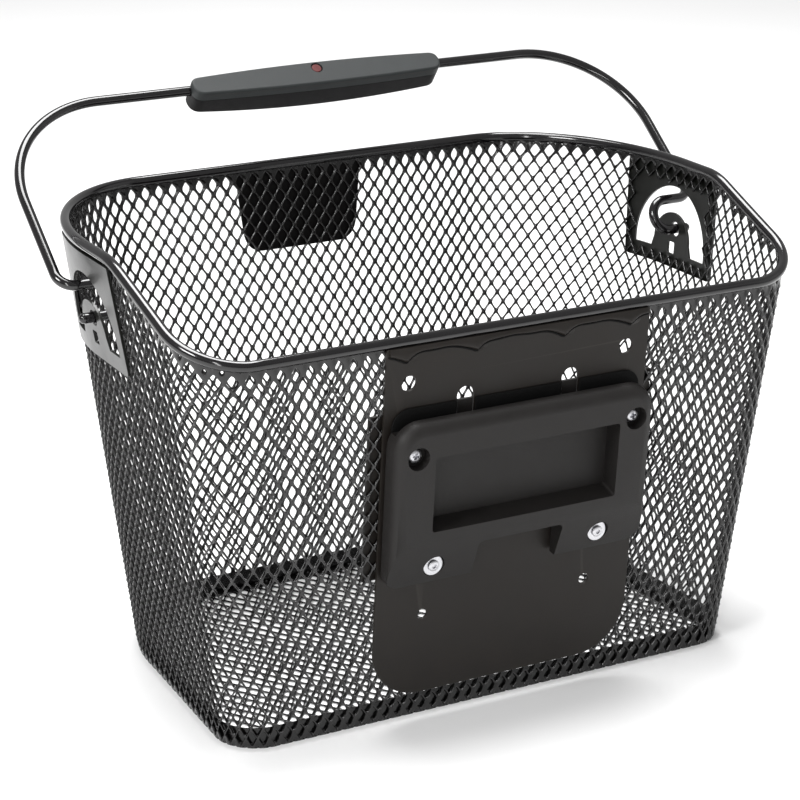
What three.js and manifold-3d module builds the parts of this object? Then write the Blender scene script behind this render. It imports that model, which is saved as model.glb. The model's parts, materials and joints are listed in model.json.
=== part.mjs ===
// Handlebar basket of black expanded steel mesh, with a steel rim, a welded mounting plate,
// a screwed-on plastic adapter plate and a bail handle that swings in two hooked brackets.
// Millimetres. +Z is up, +Y points away from the rider, the mounting plate is on the -Y side.
import * as THREE from 'three';
import { mergeVertices } from 'three/addons/utils/BufferGeometryUtils.js';
import Module from 'manifold-3d';

const wasm = await Module();
wasm.setup();

// Driving dimensions of the basket body (centre line of the wall).
const FRONT_HEIGHT = 240.5;        // rim centre line above the ground, front and sides
const REAR_HEIGHT = 207.5;         // rim centre line above the ground, at the mounting plate
const RIM_SLOPE = 0.365;           // fall of the rim per mm of depth along each side
const RIM_SLOPE_START = -24;       // depth at which the rim starts to fall towards the rear
const RIM_BLEND = 9;               // half length of the rounding where the fall starts
const TOP = {
  rearHalf: 177.5, frontHalf: 177.5, front: 115, rear: -115, frontAcross: 75, frontAlong: 109, rearRadius: 34,
};
const BASE = {
  rearHalf: 148.5, frontHalf: 142.5, front: 98, rear: -92.5, frontAcross: 58, frontAlong: 74, rearRadius: 22,
};
const SHIFT_Y = 2.57;              // moves the whole part so that the origin is under its middle

// Sheet, mesh, wire and clearances.
const GAP = 0.3;
const MESH = 1.6;
const RIM_RADIUS = 2.8;
const FLOOR_THICKNESS = 1.6;
const BAND_HEIGHT = 8.5;
const BAND_THICKNESS = 1;
const PLATE_THICKNESS = 1.5;
const BRACKET_THICKNESS = 1.5;

// Mounting plate, counter plate and rubber pad, in the rear wall's own plane.
const PLATE_HALF = 75;
const PLATE_BOTTOM = 13.5;
const PLATE_TOP = 205;
const PLATE_RADIUS = 28;
const WALL_CUT_HALF = 72;
const WALL_CUT_BOTTOM = 22.5;
const COUNTER_HALF = 81;
const COUNTER_BOTTOM = 81.5;
const COUNTER_TOP = 170.5;
const COUNTER_THICKNESS = 2;
const PAD_THICKNESS = 1;
const PAD_TOP = 174;
const UPPER_HOLE = { x: 62, up: 187, radius: 4 };
const LOWER_HOLE = { x: 48, up: 58.5, radius: 2.9 };
const HOOK_SLOT = { x: 30, half: 4.8, bottom: 157.5, top: 180.5 };
const WELD_X = [-64, -25, 25, 64];

// Adapter plate.
const ADAPTER_HALF = 74;
const ADAPTER_BOTTOM = 80;
const ADAPTER_TOP = 170;
const ADAPTER_FACE = 17;           // distance of its face from the wall's centre plane
const ADAPTER_EDGE = 5;            // rounding of its front edges
const LEG_INNER = 24.5;
const NOTCH_TOP = 100.5;
const POCKET = { half: 53, bottom: 109, top: 152, depth: 11.5 };
const UPPER_SCREW = { x: 62.5, up: 153 };
const LOWER_SCREW = { x: 48, up: 90 };
const SHANK_RADIUS = 2.4;

// Brackets and bail.
const BRACKET = { middle: 10.5, half: 37.5, bottom: 183.5, top: 234.5 };   // heights up the sloping wall
const BRACKET_SHEAR = 0.11;        // forward lean of its upright edges
const ARCH = { half: 30.5, bottom: 192, spring: 194.5, rise: 33.4 };
const TONGUE = { half: 17.5, waist: 15.5, top: 213.5 };
const EYE_RADIUS = 4;
const PIVOT = { y: 8, z: 203.5 };
const LEAN = THREE.MathUtils.degToRad(52.4);   // forward lean of the bail in the stored pose
const BAIL_RADIUS = 2.7;
const BAIL_OFFSET = 6.5;           // distance of the bail's plane from its pivot line
const BAIL_HALF = 188.5;
const BAIL_TOP = 130.85;
const BAIL_CORNER = 60;
const HOOK_RISE = 15.2;              // height of the upper arm of each hook over the pivot
const HOOK_SET = 7.6;                // its offset across the bail's plane
const HOOK_START = 170;            // where each hook starts to turn, from the middle
const HOOK_TIP = 182;

const BADGE_SHIFT = 7;             // the badge plate sits this far to the left of the middle

// Grip, measured from the bail wire that it is clamped on.
const GRIP = { half: 75.5, endUp: 4.2, midUp: 6.2, endDown: 8, midDown: 9.4, rear: 6, endFront: 9, midFront: 13 };
const DOT = { x: 0, up: 1.6, radius: 2.8, recess: 3.4 };

function standard(color, roughness, metalness) {
  return new THREE.MeshStandardMaterial({ color, roughness, metalness });
}

const paint = () => standard(0x151516, 0.3, 0.35);
const meshPaint = () => standard(0x1c1c1c, 0.4, 0.3);
const platePaint = () => standard(0x34312d, 0.5, 0.2);
const plastic = () => standard(0x3d3d3b, 0.55, 0);
const zinc = () => standard(0xc9ccd0, 0.3, 0.9);
const rubber = () => standard(0x111111, 0.85, 0);
const gripPlastic = () => standard(0x45494b, 0.6, 0);
const redPlastic = () => standard(0xa02222, 0.45, 0);

function named(name, geometry, material) {
  const mesh = new THREE.Mesh(geometry, material);
  mesh.name = name;
  return mesh;
}

// Joins and cuts.
function toSolid(geometry) {
  const bare = geometry.clone();
  bare.deleteAttribute('normal');
  bare.deleteAttribute('uv');
  const merged = mergeVertices(bare, 1e-4);
  return new wasm.Manifold(new wasm.Mesh({
    numProp: 3,
    vertProperties: new Float32Array(merged.attributes.position.array),
    triVerts: new Uint32Array(merged.index.array),
  }));
}

function toGeometry(solid) {
  const { vertProperties, triVerts } = solid.getMesh();
  const geometry = new THREE.BufferGeometry();
  geometry.setAttribute('position', new THREE.BufferAttribute(new Float32Array(vertProperties), 3));
  geometry.setIndex(new THREE.BufferAttribute(new Uint32Array(triVerts), 1));
  return geometry;
}

function cut(geometry, ...tools) {
  let solid = toSolid(geometry);
  for (const tool of tools) solid = solid.subtract(toSolid(tool));
  return toGeometry(solid);
}

function join(geometry, ...others) {
  let solid = toSolid(geometry);
  for (const other of others) solid = solid.add(toSolid(other));
  return toGeometry(solid);
}

// A box between two corners.
function block(low, high) {
  const size = high.map((value, i) => value - low[i]);
  const middle = high.map((value, i) => (value + low[i]) / 2);
  return new THREE.BoxGeometry(...size).translate(...middle);
}

// A round bar along the local Z axis, from one height to another.
function bar(radius, x, y, from, to, sides = 24) {
  return new THREE.CylinderGeometry(radius, radius, to - from, sides)
    .rotateX(Math.PI / 2).translate(x, y, (from + to) / 2);
}

function extrude(shape, depth, curveSegments = 8) {
  return new THREE.ExtrudeGeometry(shape, { depth, bevelEnabled: false, curveSegments });
}

// A group whose local X and Y run along two given directions.
function plane(origin, alongX, alongY) {
  const group = new THREE.Group();
  const x = new THREE.Vector3(...alongX).normalize();
  const y = new THREE.Vector3(...alongY).normalize();
  const z = new THREE.Vector3().crossVectors(x, y);
  group.quaternion.setFromRotationMatrix(new THREE.Matrix4().makeBasis(x, y, z));
  group.position.set(...origin);
  return group;
}

// Height of the rim's centre line at a depth.
function rimHeight(depth) {
  const past = RIM_SLOPE_START - depth;
  if (past <= -RIM_BLEND) return FRONT_HEIGHT;
  const fall = past >= RIM_BLEND ? past : (past + RIM_BLEND) ** 2 / (4 * RIM_BLEND);
  return Math.max(REAR_HEIGHT, FRONT_HEIGHT - RIM_SLOPE * fall);
}

// Plan of the wall at a height, moved outwards by an offset, from the middle of the rear
// round to the middle of the front on the +X side, then back along the -X side.
function plan(height, offset) {
  const mix = (key) => THREE.MathUtils.lerp(BASE[key], TOP[key], height / FRONT_HEIGHT);
  const rearRadius = mix('rearRadius') + offset;
  const across = mix('frontAcross') + offset;
  const along = mix('frontAlong') + offset;
  const rear = mix('rear') - offset;
  const front = mix('front') + offset;
  const rearX = mix('rearHalf') + offset - rearRadius;
  const frontX = mix('frontHalf') + offset - across;
  const points = [[0, rear], [ADAPTER_HALF, rear]];
  const turn = (x, y, halfX, halfY, start, steps) => {
    for (let i = 0; i <= steps; i++) {
      const angle = start + (Math.PI / 2) * (i / steps);
      points.push([x + halfX * Math.cos(angle), y + halfY * Math.sin(angle)]);
    }
  };
  turn(rearX, rear + rearRadius, rearRadius, rearRadius, -Math.PI / 2, 7);
  const last = points[points.length - 1];
  const next = [frontX + across, front - along];
  for (const part of [0.3, 0.42, 0.5, 0.6, 0.8]) {
    points.push([THREE.MathUtils.lerp(last[0], next[0], part), THREE.MathUtils.lerp(last[1], next[1], part)]);
  }
  turn(frontX, front - along, across, along, 0, 10);
  points.push([0, front]);
  const mirrored = points.slice(1, -1).reverse().map(([x, y]) => [-x, y]);
  return points.concat(mirrored);
}

// The same stations on the rim's centre line, lowered by a drop.
function rimStations(offset, drop) {
  return plan(FRONT_HEIGHT, 0).map(([, depth], i) => {
    const height = rimHeight(depth) - drop;
    const [x, y] = plan(height, offset)[i];
    return new THREE.Vector3(x, y, height);
  });
}

function planStations(offset, height) {
  return plan(height, offset).map(([x, y]) => new THREE.Vector3(x, y, height));
}

// A closed band with four corner lines: outer foot, outer top, inner top, inner foot.
function bandSolid(corners) {
  const count = corners[0].length;
  const positions = [];
  const index = [];
  for (let i = 0; i < count; i++) {
    for (const line of corners) positions.push(line[i].x, line[i].y, line[i].z);
  }
  for (let i = 0; i < count; i++) {
    const here = i * 4;
    const ahead = ((i + 1) % count) * 4;
    for (let side = 0; side < 4; side++) {
      const following = (side + 1) % 4;
      index.push(here + side, ahead + side, ahead + following);
      index.push(here + side, ahead + following, here + following);
    }
  }
  const geometry = new THREE.BufferGeometry();
  geometry.setAttribute('position', new THREE.Float32BufferAttribute(positions, 3));
  geometry.setIndex(index);
  return geometry;
}

// A path through given points, with one section of the swept tube at each point.
class PointPath extends THREE.Curve {
  constructor(points, closed) {
    super();
    this.points = points;
    this.closed = closed;
  }

  getPoint(t, target = new THREE.Vector3()) {
    const count = this.points.length;
    const place = this.closed ? t * count : t * (count - 1);
    const first = Math.floor(place);
    const from = this.points[this.closed ? ((first % count) + count) % count : Math.min(first, count - 1)];
    const to = this.points[this.closed ? (((first + 1) % count) + count) % count : Math.min(first + 1, count - 1)];
    return target.lerpVectors(from, to, place - first);
  }

  getPointAt(u, target) {
    return this.getPoint(u, target);
  }

  getTangentAt(u, target) {
    return this.getTangent(u, target);
  }
}

function rimRing() {
  const stations = rimStations(0, 0);
  const tube = new THREE.TubeGeometry(new PointPath(stations, true), stations.length, RIM_RADIUS, 9, true);
  return named('rim_ring', tube, paint());
}

const rearTilt = Math.atan((BASE.rear - TOP.rear) / FRONT_HEIGHT);
const frontTilt = Math.atan((TOP.front - BASE.front) / FRONT_HEIGHT);
const sideTilt = Math.atan((TOP.rearHalf - BASE.rearHalf) / FRONT_HEIGHT);

// Local X across, Y up the rear wall, Z outwards, from the wall's centre plane.
function rearPlane() {
  return plane([0, BASE.rear, 0], [1, 0, 0], [0, -Math.sin(rearTilt), Math.cos(rearTilt)]);
}

// The same for a side wall: local Y up the wall and Z outwards.
function sidePlane(side) {
  const origin = [side * BASE.rearHalf, BRACKET.middle, 0];
  return plane(origin, [0, side, 0], [side * Math.sin(sideTilt), 0, Math.cos(sideTilt)]);
}

function frontPlane() {
  return plane([0, BASE.front, 0], [-1, 0, 0], [0, Math.sin(frontTilt), Math.cos(frontTilt)]);
}

function placed(geometry, group) {
  group.updateMatrix();
  return geometry.applyMatrix4(group.matrix);
}

// A tool drawn in a side wall's plane, sheared forward about the pivot's height.
function sideTool(geometry, side) {
  const shear = new THREE.Matrix4().makeShear(0, 0, side * BRACKET_SHEAR, 0, 0, 0);
  geometry.translate(0, -PIVOT.z, 0).applyMatrix4(shear).translate(0, PIVOT.z, 0);
  return placed(geometry, sidePlane(side));
}

function wallMesh() {
  const drop = RIM_RADIUS + GAP;
  const ring = bandSolid([
    planStations(MESH / 2, 0), rimStations(MESH / 2, drop),
    rimStations(-MESH / 2, drop), planStations(-MESH / 2, 0),
  ]);
  const plateCut = placed(block([-WALL_CUT_HALF, WALL_CUT_BOTTOM, -9], [WALL_CUT_HALF, 240, 9]), rearPlane());
  const sideCuts = [-1, 1].map((side) => sideTool(
    block([6 - BRACKET.half, BRACKET.bottom + 5, -9], [BRACKET.half - 6, BRACKET.top - 5, 9]), side));
  return named('wall_mesh', cut(ring, plateCut, ...sideCuts), meshPaint());
}

function floorMesh() {
  const inset = MESH / 2 + GAP;
  const rearRadius = BASE.rearRadius - inset;
  const across = BASE.frontAcross - inset;
  const along = BASE.frontAlong - inset;
  const rear = BASE.rear + inset + rearRadius;
  const front = BASE.front - inset - along;
  const rearX = BASE.rearHalf - inset - rearRadius;
  const frontX = BASE.frontHalf - inset - across;
  const shape = new THREE.Shape();
  shape.moveTo(-rearX, rear - rearRadius);
  shape.absarc(rearX, rear, rearRadius, -Math.PI / 2, 0, false);
  shape.absellipse(frontX, front, across, along, 0, Math.PI / 2, false);
  shape.absellipse(-frontX, front, across, along, Math.PI / 2, Math.PI, false);
  shape.absarc(-rearX, rear, rearRadius, Math.PI, Math.PI * 1.5, false);
  return named('floor_mesh', extrude(shape, FLOOR_THICKNESS, 8), meshPaint());
}

function floorBand() {
  const outer = -MESH / 2 - GAP;
  const foot = FLOOR_THICKNESS + GAP;
  return named('floor_band', bandSolid([
    planStations(outer, foot), planStations(outer, foot + BAND_HEIGHT),
    planStations(outer - BAND_THICKNESS, foot + BAND_HEIGHT), planStations(outer - BAND_THICKNESS, foot),
  ]), meshPaint());
}

// Rectangle with its own radius on the lower and on the upper corners.
function roundedShape(half, bottom, top, lowerRadius, upperRadius) {
  const shape = new THREE.Shape();
  shape.moveTo(0, bottom);
  shape.absarc(half - lowerRadius, bottom + lowerRadius, lowerRadius, -Math.PI / 2, 0, false);
  shape.absarc(half - upperRadius, top - upperRadius, upperRadius, 0, Math.PI / 2, false);
  shape.absarc(upperRadius - half, top - upperRadius, upperRadius, Math.PI / 2, Math.PI, false);
  shape.absarc(lowerRadius - half, bottom + lowerRadius, lowerRadius, Math.PI, Math.PI * 1.5, false);
  return shape;
}

function mirroredBars(spot, radius, from, to, sides) {
  return [-1, 1].map((side) => bar(radius, side * spot.x, spot.up, from, to, sides));
}

function hookSlots(margin, from, to) {
  return [-1, 1].map((side) => {
    const half = HOOK_SLOT.half + margin;
    const arch = new THREE.Shape();
    arch.moveTo(-half, HOOK_SLOT.bottom);
    arch.lineTo(half, HOOK_SLOT.bottom);
    arch.absarc(0, HOOK_SLOT.top - HOOK_SLOT.half, half, 0, Math.PI, false);
    return extrude(arch, to - from, 5).translate(side * HOOK_SLOT.x, 0, from);
  });
}

const plateInner = MESH / 2 + GAP;
const plateOuter = plateInner + PLATE_THICKNESS;
const padInner = plateOuter + GAP;
const padOuter = padInner + PAD_THICKNESS;
const adapterBack = padOuter + GAP;
const counterOuter = -MESH / 2 - GAP;
const counterInner = counterOuter - COUNTER_THICKNESS;

function mountingPlate() {
  const shape = roundedShape(PLATE_HALF, PLATE_BOTTOM, PLATE_TOP, PLATE_RADIUS, 2);
  const sheet = extrude(shape, PLATE_THICKNESS, 8).translate(0, 0, plateInner);
  const holes = [
    ...mirroredBars(UPPER_HOLE, UPPER_HOLE.radius, 0, 9, 20),
    ...mirroredBars(LOWER_HOLE, LOWER_HOLE.radius, 0, 9, 16),
    ...mirroredBars(UPPER_SCREW, SHANK_RADIUS + GAP, 0, 9, 16),
    ...mirroredBars(LOWER_SCREW, SHANK_RADIUS + GAP, 0, 9, 16),
    ...hookSlots(0, 0, 9),
  ];
  return named('mounting_plate', cut(sheet, ...holes), platePaint());
}

function counterPlate() {
  const sheet = block([-COUNTER_HALF, COUNTER_BOTTOM, counterInner], [COUNTER_HALF, COUNTER_TOP, counterOuter]);
  const holes = [
    ...mirroredBars(UPPER_SCREW, SHANK_RADIUS + GAP, -9, 0, 16),
    ...mirroredBars(LOWER_SCREW, SHANK_RADIUS + GAP, -9, 0, 16),
    ...hookSlots(0.6, -9, 0),
  ];
  return named('counter_plate', cut(sheet, ...holes), platePaint());
}

function rubberPad() {
  const shape = roundedShape(ADAPTER_HALF - 3, NOTCH_TOP + 4, PAD_TOP, 2, 9);
  const sheet = extrude(shape, PAD_THICKNESS, 4).translate(0, 0, padInner);
  const holes = [...mirroredBars(UPPER_SCREW, SHANK_RADIUS + GAP, 0, 9, 16), ...hookSlots(0.6, 0, 9)];
  return named('rubber_pad', cut(sheet, ...holes), rubber());
}

// Outline of the adapter plate's face: a wide panel with two short legs.
function adapterShape() {
  const half = ADAPTER_HALF - ADAPTER_EDGE;
  const bottom = ADAPTER_BOTTOM + ADAPTER_EDGE;
  const top = ADAPTER_TOP - ADAPTER_EDGE;
  const inner = LEG_INNER + ADAPTER_EDGE / 2;
  const radius = 3;
  const upperRadius = 8;
  const shape = new THREE.Shape();
  shape.moveTo(inner + radius, bottom);
  shape.absarc(half - radius, bottom + radius, radius, -Math.PI / 2, 0, false);
  shape.absarc(half - upperRadius, top - upperRadius, upperRadius, 0, Math.PI / 2, false);
  shape.absarc(upperRadius - half, top - upperRadius, upperRadius, Math.PI / 2, Math.PI, false);
  shape.absarc(radius - half, bottom + radius, radius, Math.PI, Math.PI * 1.5, false);
  shape.lineTo(-inner, bottom);
  shape.lineTo(-inner, NOTCH_TOP + ADAPTER_EDGE / 2);
  shape.lineTo(inner, NOTCH_TOP + ADAPTER_EDGE / 2);
  shape.lineTo(inner, bottom);
  return shape;
}

function adapterPlate() {
  const slab = new THREE.ExtrudeGeometry(adapterShape(), {
    depth: 20, bevelEnabled: true, bevelThickness: ADAPTER_EDGE, bevelSize: ADAPTER_EDGE,
    bevelSegments: 3, curveSegments: 4,
  }).translate(0, 0, ADAPTER_FACE - ADAPTER_EDGE - 20);
  const behind = block([-99, 60, -30], [99, 190, adapterBack]);
  const notch = block([-LEG_INNER, 60, -9], [LEG_INNER, NOTCH_TOP, 30]);
  const legBevel = block([-99, -60, 0], [99, 0, 20]).rotateX(0.31).translate(0, 105.5, ADAPTER_FACE);
  const pocketFloor = ADAPTER_FACE - POCKET.depth;
  const pocketSide = new THREE.Shape([[pocketFloor, POCKET.bottom + 5], [ADAPTER_FACE, POCKET.bottom],
    [30, POCKET.bottom], [30, POCKET.top], [pocketFloor, POCKET.top]].map(([z, up]) => new THREE.Vector2(-z, up)));
  const pocket = extrude(pocketSide, 2 * POCKET.half).rotateY(Math.PI / 2).translate(-POCKET.half, 0, 0);
  const undercut = block([-68, ADAPTER_TOP - 10, 0], [68, 190, 9.5]);
  const body = cut(slab, behind, notch, legBevel, pocket, undercut,
    ...mirroredBars(UPPER_SCREW, SHANK_RADIUS + GAP, 0, 30, 16),
    ...mirroredBars(UPPER_SCREW, 6, 11, 30, 20),
    ...mirroredBars(LOWER_SCREW, SHANK_RADIUS + GAP, 0, 30, 16),
    ...mirroredBars(LOWER_SCREW, 6, 9.6, 30, 20));
  const hooks = [-1, 1].map((side) => block(
    [side * HOOK_SLOT.x - 4.2, ADAPTER_TOP - 12, plateInner], [side * HOOK_SLOT.x + 4.2, ADAPTER_TOP - 8, 11]));
  const tips = [-1, 1].map((side) => block(
    [side * HOOK_SLOT.x - 4.2, ADAPTER_TOP - 12, plateInner], [side * HOOK_SLOT.x + 4.2, ADAPTER_TOP + 5, plateOuter]));
  return named('adapter_plate', join(body, ...hooks, ...tips), plastic());
}

// A pan-head screw along local Z with a cross recess, and the nut and washer that go with it.
function screw(name, spot, side, headFoot, headRadius) {
  const profile = [
    [0, -10], [SHANK_RADIUS, -10], [SHANK_RADIUS, headFoot], [headRadius, headFoot],
    [headRadius, headFoot + 1.2], [headRadius * 0.7, headFoot + 2.2], [0, headFoot + 2.4],
  ].map(([radius, along]) => new THREE.Vector2(radius, along));
  const body = new THREE.LatheGeometry(profile, 18).rotateX(Math.PI / 2);
  const reach = headRadius * 0.62;
  const low = headFoot + 1.1;
  const cross = [block([-reach, -0.5, low], [reach, 0.5, 40]), block([-0.5, -reach, low], [0.5, reach, 40])];
  return named(name, cut(body, ...cross).translate(side * spot.x, spot.up, 0), zinc());
}

function washer(name, spot, side, from) {
  const ring = cut(bar(5.5, 0, 0, from, from + 1, 24), bar(SHANK_RADIUS + GAP, 0, 0, from - 2, from + 3, 16));
  return named(name, ring.translate(side * spot.x, spot.up, 0), zinc());
}

function nut(name, spot, side) {
  const top = counterInner - GAP;
  const ring = cut(bar(4.6, 0, 0, top - 4, top, 6), bar(SHANK_RADIUS + GAP, 0, 0, top - 9, top + 3, 16));
  return named(name, ring.translate(side * spot.x, spot.up, 0), zinc());
}

function weldBead(name, x) {
  const profile = [[0, 0], [6.5, 0], [5.6, 0.8], [3.2, 1.6], [0, 1.9]].map(([r, h]) => new THREE.Vector2(r, h));
  const dome = new THREE.LatheGeometry(profile, 14).rotateX(Math.PI / 2).scale(1, 0.5, 1);
  return named(name, dome.translate(x, PLATE_TOP - 4.2, plateOuter + GAP), platePaint());
}

// Bracket sheet that follows the wall, with an arched window, a tongue standing in it, an eye
// and a small slot.
function bracket(name, side) {
  const slotBottom = BRACKET.bottom + 7.5;
  const sheet = roundedShape(BRACKET.half, BRACKET.bottom, BRACKET.top, 3, 3);
  const window = new THREE.Path();
  window.moveTo(-TONGUE.half, ARCH.bottom);
  window.lineTo(-ARCH.half, ARCH.bottom);
  window.absellipse(0, ARCH.spring, ARCH.half, ARCH.rise, Math.PI, 0, true);
  window.lineTo(ARCH.half, ARCH.bottom);
  window.lineTo(TONGUE.half, ARCH.bottom);
  const tongueSpring = TONGUE.top - TONGUE.waist;
  window.absarc(0, tongueSpring, TONGUE.waist, 0, Math.PI, false);
  sheet.holes.push(window);
  const eyeAlong = side * (PIVOT.y - BRACKET.middle);
  const eye = bar(EYE_RADIUS, eyeAlong, PIVOT.z / Math.cos(sideTilt), -40, 40, 20);
  const slot = block([-3, slotBottom, -40], [3, slotBottom + 6.5, 40]);
  const outline = sideTool(cut(extrude(sheet, 40, 12).translate(0, 0, -20), eye, slot), side);
  const inner = MESH / 2 + GAP + 0.2;
  const outer = inner + BRACKET_THICKNESS;
  const skin = bandSolid([
    planStations(outer, 150), planStations(outer, FRONT_HEIGHT),
    planStations(inner, FRONT_HEIGHT), planStations(inner, 150),
  ]);
  return named(name, toGeometry(toSolid(outline).intersect(toSolid(skin))), paint());
}

function badgePlate() {
  const shape = new THREE.Shape();
  shape.moveTo(-24, 193);
  shape.lineTo(24, 193);
  shape.quadraticCurveTo(33, 193.5, 35, 203.5);
  shape.lineTo(38.5, 234.5);
  shape.lineTo(-38.5, 234.5);
  shape.lineTo(-35, 203.5);
  shape.quadraticCurveTo(-33, 193.5, -24, 193);
  return named('front_badge_plate', extrude(shape, 1.2, 5).translate(BADGE_SHIFT, 0, MESH / 2 + GAP), paint());
}

// Half of the bail's centre line in its own plane, from the middle of the top to the hook's tip.
function bailHalf() {
  const points = [[0, BAIL_TOP, BAIL_OFFSET], [GRIP.half + 10, BAIL_TOP, BAIL_OFFSET]];
  const cornerX = BAIL_HALF - BAIL_CORNER;
  const cornerUp = BAIL_TOP - BAIL_CORNER;
  for (let i = 0; i <= 8; i++) {
    const angle = (Math.PI / 2) * (1 - i / 8);
    points.push([cornerX + BAIL_CORNER * Math.cos(angle), cornerUp + BAIL_CORNER * Math.sin(angle), BAIL_OFFSET]);
  }
  const bend = 9;
  for (let i = 0; i <= 4; i++) {
    const angle = -(Math.PI / 2) * (i / 4);
    const up = HOOK_RISE + bend + bend * Math.sin(angle);
    points.push([BAIL_HALF - bend + bend * Math.cos(angle), up, BAIL_OFFSET + (HOOK_SET - BAIL_OFFSET) * (i / 4)]);
  }
  const radius = Math.hypot(HOOK_RISE, HOOK_SET) / 2;
  for (let i = 0; i <= 8; i++) {
    const angle = Math.PI * (i / 8);
    const along = (1 + Math.cos(angle)) / 2;
    points.push([HOOK_START - radius * Math.sin(angle), HOOK_RISE * along, HOOK_SET * along]);
  }
  points.push([HOOK_TIP, 0, 0]);
  return points.map((point) => new THREE.Vector3(...point));
}

function bailWire() {
  const right = bailHalf();
  const left = right.slice(1).reverse().map((point) => new THREE.Vector3(-point.x, point.y, point.z));
  const path = new PointPath(left.concat(right), false);
  const section = new THREE.Shape().absarc(0, 0, BAIL_RADIUS, 0, Math.PI * 2, false);
  const wire = new THREE.ExtrudeGeometry(section, {
    steps: left.length + right.length - 1, extrudePath: path, curveSegments: 5, bevelEnabled: false,
  });
  return named('bail_wire', wire, paint());
}

// The grip's face outline across the wire, arched on both long edges.
function gripFace(inset) {
  const half = GRIP.half - inset;
  const round = 5;
  const shape = new THREE.Shape();
  shape.moveTo(-half + round, -GRIP.endDown + inset);
  shape.quadraticCurveTo(0, 2 * -GRIP.midDown + GRIP.endDown + inset, half - round, -GRIP.endDown + inset);
  shape.quadraticCurveTo(half, -GRIP.endDown + inset, half, -GRIP.endDown + inset + round);
  shape.lineTo(half, GRIP.endUp - inset - 2);
  shape.quadraticCurveTo(half, GRIP.endUp - inset, half - round, GRIP.endUp - inset);
  shape.quadraticCurveTo(0, 2 * GRIP.midUp - GRIP.endUp - inset, -half + round, GRIP.endUp - inset);
  shape.quadraticCurveTo(-half, GRIP.endUp - inset, -half, GRIP.endUp - inset - 2);
  shape.lineTo(-half, -GRIP.endDown + inset + round);
  shape.quadraticCurveTo(-half, -GRIP.endDown + inset, -half + round, -GRIP.endDown + inset);
  return shape;
}

function wireChannel() {
  return new THREE.CylinderGeometry(BAIL_RADIUS + GAP, BAIL_RADIUS + GAP, 200, 16).rotateZ(Math.PI / 2);
}

function gripRear() {
  const edge = 1.4;
  const slab = new THREE.ExtrudeGeometry(gripFace(edge), {
    depth: 8, bevelEnabled: true, bevelThickness: edge, bevelSize: edge, bevelSegments: 2, curveSegments: 8,
  }).translate(0, 0, GRIP.rear - edge - 8);
  const behind = block([-90, -20, -20], [90, 20, GAP / 2]);
  const recess = bar(DOT.recess, DOT.x, DOT.up, GRIP.rear - 1.6, 20, 20);
  return named('grip_rear_shell', cut(slab, behind, wireChannel(), recess), gripPlastic());
}

function gripFront() {
  const edge = 2;
  const slab = new THREE.ExtrudeGeometry(gripFace(edge), {
    depth: 12, bevelEnabled: true, bevelThickness: edge, bevelSize: edge, bevelSegments: 2, curveSegments: 8,
  }).translate(0, 0, -GRIP.midFront + edge);
  const ahead = block([-90, -20, -GAP / 2], [90, 20, 20]);
  const belly = new THREE.Shape();
  belly.moveTo(-90, -30);
  belly.lineTo(90, -30);
  belly.lineTo(90, -GRIP.endFront + 1);
  belly.quadraticCurveTo(0, -2 * GRIP.midFront + GRIP.endFront - 1, -90, -GRIP.endFront + 1);
  const under = extrude(belly, 60, 10).rotateX(Math.PI / 2).translate(0, 30, 0);
  return named('grip_front_shell', cut(slab, ahead, wireChannel(), under), gripPlastic());
}

function gripDot() {
  return named('grip_dot', bar(DOT.radius, DOT.x, DOT.up, GRIP.rear - 1.3, GRIP.rear - 0.4, 20), redPlastic());
}

function rearFittings() {
  const group = rearPlane();
  group.add(mountingPlate(), counterPlate(), rubberPad(), adapterPlate());
  WELD_X.forEach((x, i) => group.add(weldBead(`weld_bead_${i + 1}`, x)));
  for (const [side, word] of [[-1, 'left'], [1, 'right']]) {
    group.add(screw(`upper_screw_${word}`, UPPER_SCREW, side, 11.3, 3.9));
    group.add(screw(`lower_screw_${word}`, LOWER_SCREW, side, 11.2, 3.5));
    group.add(washer(`lower_washer_${word}`, LOWER_SCREW, side, 9.9));
    group.add(nut(`upper_nut_${word}`, UPPER_SCREW, side), nut(`lower_nut_${word}`, LOWER_SCREW, side));
  }
  return group;
}

function bail() {
  const group = plane([0, PIVOT.y, PIVOT.z], [1, 0, 0], [0, Math.sin(LEAN), Math.cos(LEAN)]);
  const grip = new THREE.Group();
  grip.position.set(0, BAIL_TOP, BAIL_OFFSET);
  grip.add(gripRear(), gripFront(), gripDot());
  group.add(bailWire(), grip);
  return group;
}

const basket = new THREE.Group();
basket.position.y = SHIFT_Y;
basket.add(rimRing(), wallMesh(), floorMesh(), floorBand(), rearFittings(), bail());
for (const [side, word] of [[-1, 'left'], [1, 'right']]) {
  basket.add(bracket(`${word}_bracket`, side));
}
basket.add(frontPlane().add(badgePlate()));

export default basket;
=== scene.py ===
# Handlebar basket: expanded steel mesh in a wire rim, a mounting plate with a screwed-on
# adapter, two hooked brackets and a bail handle with a clamped grip.
import json
import math
import bmesh
import bpy
import numpy as np
from mathutils import Matrix, Vector

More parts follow.
